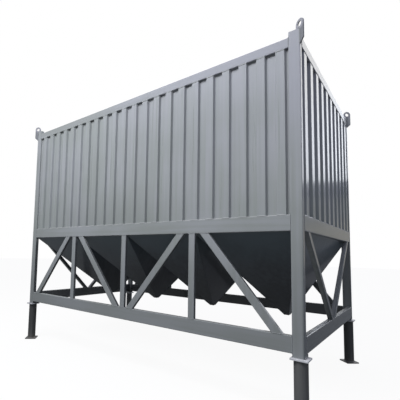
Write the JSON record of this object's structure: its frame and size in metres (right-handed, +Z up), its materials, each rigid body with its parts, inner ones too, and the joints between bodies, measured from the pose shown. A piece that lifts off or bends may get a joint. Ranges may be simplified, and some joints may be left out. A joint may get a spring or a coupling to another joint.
{
  "type": "horizontal cement silo",
  "caption": "Long box-shaped bulk silo with corrugated walls over a row of pyramid hoppers, in a trussed steel frame with lifting eyes, standing on short round legs.",
  "frame": {"origin": "on the ground, under the middle of the silo", "axes": "+Z up, X along the silo, -Y out of the front long side"},
  "size_m": [4.5204, 2.6304, 3.652],
  "materials": {
    "eye_paint": "semi-gloss grey paint",
    "frame_paint": "semi-gloss grey paint",
    "hopper_paint": "semi-gloss grey paint",
    "leg_paint": "dark grey paint, satin",
    "roof_paint": "semi-gloss grey paint",
    "wall_paint": "semi-gloss grey paint"
  },
  "bodies": {
    "root": {"bottom_rail_back": "frame_paint", "bottom_rail_front": "frame_paint", "bottom_rail_left": "frame_paint", "bottom_rail_right": "frame_paint", "diagonal_back_1": "frame_paint", "diagonal_back_2": "frame_paint", "diagonal_back_3": "frame_paint", "diagonal_back_4": "frame_paint", "diagonal_front_1": "frame_paint", "diagonal_front_2": "frame_paint", "diagonal_front_3": "frame_paint", "diagonal_front_4": "frame_paint", "end_brace_left_back": "frame_paint", "end_brace_left_front": "frame_paint", "end_brace_right_back": "frame_paint", "end_brace_right_front": "frame_paint", "hopper_end_left": "hopper_paint", "hopper_end_right": "hopper_paint", "hopper_ridge_1": "hopper_paint", "hopper_ridge_2": "hopper_paint", "hopper_ridge_3": "hopper_paint", "hopper_sheet_back": "hopper_paint", "hopper_sheet_front": "hopper_paint", "leg_back_left": "leg_paint", "leg_back_right": "leg_paint", "leg_front_left": "leg_paint", "leg_front_right": "leg_paint", "lifting_eye_back_left": "eye_paint", "lifting_eye_back_right": "eye_paint", "lifting_eye_front_left": "eye_paint", "lifting_eye_front_right": "eye_paint", "mid_rail_back": "frame_paint", "mid_rail_front": "frame_paint", "mid_rail_left": "frame_paint", "mid_rail_right": "frame_paint", "post_back_left": "frame_paint", "post_back_right": "frame_paint", "post_front_left": "frame_paint", "post_front_right": "frame_paint", "roof": "roof_paint", "top_rail_back": "frame_paint", "top_rail_front": "frame_paint", "top_rail_left": "frame_paint", "top_rail_right": "frame_paint", "upright_back_1": "frame_paint", "upright_back_2": "frame_paint", "upright_back_3": "frame_paint", "upright_front_1": "frame_paint", "upright_front_2": "frame_paint", "upright_front_3": "frame_paint", "wall_back": "wall_paint", "wall_front": "wall_paint", "wall_left": "wall_paint", "wall_right": "wall_paint"}
  },
  "joints": []
}
